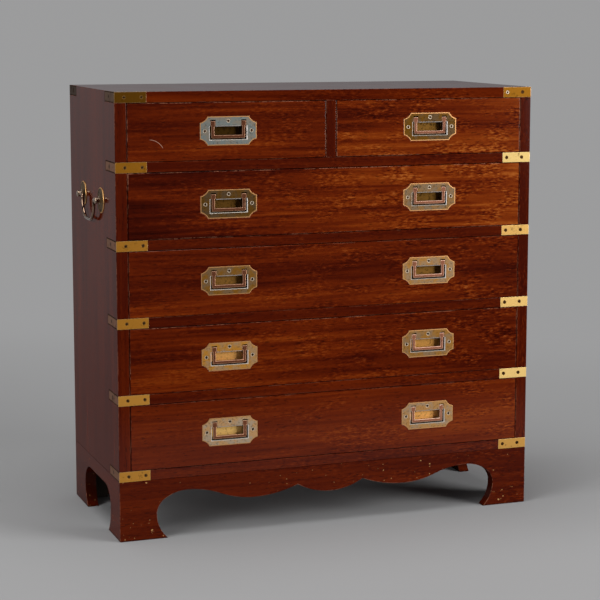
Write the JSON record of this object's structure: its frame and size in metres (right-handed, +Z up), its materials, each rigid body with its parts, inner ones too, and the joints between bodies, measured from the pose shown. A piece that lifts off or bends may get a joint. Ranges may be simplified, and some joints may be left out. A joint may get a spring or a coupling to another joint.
{
  "type": "campaign chest",
  "caption": "Low mahogany campaign chest of drawers with flush brass pulls, let-in corner straps, side carrying handles and a shaped base with bracket feet.",
  "frame": {"origin": "on the floor under the middle of the chest", "axes": "+Z up, the drawers open towards -Y, +X to the right of someone facing the front"},
  "size_m": [0.787, 0.336, 0.762],
  "materials": {
    "case_mahogany": "French-polished dark mahogany",
    "base_mahogany": "French-polished dark mahogany",
    "drawer_mahogany": "French-polished figured mahogany",
    "drawer_lining": "planed bare wood",
    "carcass_pine": "planed bare wood",
    "strap_brass": "worn polish",
    "plate_brass": "tarnished, bright at the edges",
    "bail_brass": "reddish, rubbed",
    "handle_brass": "tarnished polish"
  },
  "bodies": {
    "carcass": {"side_left": "case_mahogany", "side_right": "case_mahogany", "top_board": "case_mahogany", "drawer_rail_1": "case_mahogany", "drawer_rail_2": "case_mahogany", "drawer_rail_3": "case_mahogany", "drawer_rail_4": "case_mahogany", "short_drawer_divider": "case_mahogany", "bottom_board": "case_mahogany", "front_apron": "base_mahogany", "side_apron_left": "base_mahogany", "side_apron_right": "base_mahogany", "rear_feet": "base_mahogany", "divider_guide": "carcass_pine", "drawer_runners": "carcass_pine", "drawer_stops": "carcass_pine", "back_boards": "carcass_pine", "glue_blocks": "carcass_pine", "front_straps": "strap_brass", "rear_straps": "strap_brass", "handle_roses": "handle_brass"},
    "short_drawer_left": {"short_drawer_left_front": "drawer_mahogany", "short_drawer_left_box": "drawer_lining", "short_drawer_left_bottom": "drawer_lining", "short_drawer_left_pull_plate": "plate_brass"},
    "short_drawer_left_bail": {"short_drawer_left_bail": "bail_brass"},
    "short_drawer_right": {"short_drawer_right_front": "drawer_mahogany", "short_drawer_right_box": "drawer_lining", "short_drawer_right_bottom": "drawer_lining", "short_drawer_right_pull_plate": "plate_brass"},
    "short_drawer_right_bail": {"short_drawer_right_bail": "bail_brass"},
    "long_drawer_1": {"long_drawer_1_front": "drawer_mahogany", "long_drawer_1_box": "drawer_lining", "long_drawer_1_bottom": "drawer_lining", "long_drawer_1_pull_plates": "plate_brass"},
    "long_drawer_1_bail_left": {"long_drawer_1_bail_left": "bail_brass"},
    "long_drawer_1_bail_right": {"long_drawer_1_bail_right": "bail_brass"},
    "long_drawer_2": {"long_drawer_2_front": "drawer_mahogany", "long_drawer_2_box": "drawer_lining", "long_drawer_2_bottom": "drawer_lining", "long_drawer_2_pull_plates": "plate_brass"},
    "long_drawer_2_bail_left": {"long_drawer_2_bail_left": "bail_brass"},
    "long_drawer_2_bail_right": {"long_drawer_2_bail_right": "bail_brass"},
    "long_drawer_3": {"long_drawer_3_front": "drawer_mahogany", "long_drawer_3_box": "drawer_lining", "long_drawer_3_bottom": "drawer_lining", "long_drawer_3_pull_plates": "plate_brass"},
    "long_drawer_3_bail_left": {"long_drawer_3_bail_left": "bail_brass"},
    "long_drawer_3_bail_right": {"long_drawer_3_bail_right": "bail_brass"},
    "long_drawer_4": {"long_drawer_4_front": "drawer_mahogany", "long_drawer_4_box": "drawer_lining", "long_drawer_4_bottom": "drawer_lining", "long_drawer_4_pull_plates": "plate_brass"},
    "long_drawer_4_bail_left": {"long_drawer_4_bail_left": "bail_brass"},
    "long_drawer_4_bail_right": {"long_drawer_4_bail_right": "bail_brass"},
    "carry_handle_left": {"carry_handle_left": "handle_brass"},
    "carry_handle_right": {"carry_handle_right": "handle_brass"}
  },
  "joints": [
    {"name": "short_drawer_left_slide", "type": "slide", "parent": "carcass", "child": "short_drawer_left", "axis": [0, -1, 0], "range_m": [0, 0.24]},
    {"name": "short_drawer_left_bail_hinge", "type": "hinge", "parent": "short_drawer_left", "child": "short_drawer_left_bail", "pos_m": [-0.185, -0.1636, 0.70735], "axis": [-1, 0, 0], "range_deg": [0, 90]},
    {"name": "short_drawer_right_slide", "type": "slide", "parent": "carcass", "child": "short_drawer_right", "axis": [0, -1, 0], "range_m": [0, 0.24]},
    {"name": "short_drawer_right_bail_hinge", "type": "hinge", "parent": "short_drawer_right", "child": "short_drawer_right_bail", "pos_m": [0.185, -0.1636, 0.70735], "axis": [-1, 0, 0], "range_deg": [0, 90]},
    {"name": "long_drawer_1_slide", "type": "slide", "parent": "carcass", "child": "long_drawer_1", "axis": [0, -1, 0], "range_m": [0, 0.24]},
    {"name": "long_drawer_1_bail_left_hinge", "type": "hinge", "parent": "long_drawer_1", "child": "long_drawer_1_bail_left", "pos_m": [-0.185, -0.1636, 0.58385], "axis": [-1, 0, 0], "range_deg": [0, 90]},
    {"name": "long_drawer_1_bail_right_hinge", "type": "hinge", "parent": "long_drawer_1", "child": "long_drawer_1_bail_right", "pos_m": [0.185, -0.1636, 0.58385], "axis": [-1, 0, 0], "range_deg": [0, 90]},
    {"name": "long_drawer_2_slide", "type": "slide", "parent": "carcass", "child": "long_drawer_2", "axis": [0, -1, 0], "range_m": [0, 0.24]},
    {"name": "long_drawer_2_bail_left_hinge", "type": "hinge", "parent": "long_drawer_2", "child": "long_drawer_2_bail_left", "pos_m": [-0.185, -0.1636, 0.45285], "axis": [-1, 0, 0], "range_deg": [0, 90]},
    {"name": "long_drawer_2_bail_right_hinge", "type": "hinge", "parent": "long_drawer_2", "child": "long_drawer_2_bail_right", "pos_m": [0.185, -0.1636, 0.45285], "axis": [-1, 0, 0], "range_deg": [0, 90]},
    {"name": "long_drawer_3_slide", "type": "slide", "parent": "carcass", "child": "long_drawer_3", "axis": [0, -1, 0], "range_m": [0, 0.24]},
    {"name": "long_drawer_3_bail_left_hinge", "type": "hinge", "parent": "long_drawer_3", "child": "long_drawer_3_bail_left", "pos_m": [-0.185, -0.1636, 0.32185], "axis": [-1, 0, 0], "range_deg": [0, 90]},
    {"name": "long_drawer_3_bail_right_hinge", "type": "hinge", "parent": "long_drawer_3", "child": "long_drawer_3_bail_right", "pos_m": [0.185, -0.1636, 0.32185], "axis": [-1, 0, 0], "range_deg": [0, 90]},
    {"name": "long_drawer_4_slide", "type": "slide", "parent": "carcass", "child": "long_drawer_4", "axis": [0, -1, 0], "range_m": [0, 0.24]},
    {"name": "long_drawer_4_bail_left_hinge", "type": "hinge", "parent": "long_drawer_4", "child": "long_drawer_4_bail_left", "pos_m": [-0.185, -0.1636, 0.19085], "axis": [-1, 0, 0], "range_deg": [0, 90]},
    {"name": "long_drawer_4_bail_right_hinge", "type": "hinge", "parent": "long_drawer_4", "child": "long_drawer_4_bail_right", "pos_m": [0.185, -0.1636, 0.19085], "axis": [-1, 0, 0], "range_deg": [0, 90]},
    {"name": "carry_handle_left_hinge", "type": "hinge", "parent": "carcass", "child": "carry_handle_left", "pos_m": [-0.3885, 0, 0.574], "axis": [0, 1, 0], "range_deg": [-5, 180]},
    {"name": "carry_handle_right_hinge", "type": "hinge", "parent": "carcass", "child": "carry_handle_right", "pos_m": [0.3885, 0, 0.574], "axis": [0, -1, 0], "range_deg": [-5, 180]}
  ]
}
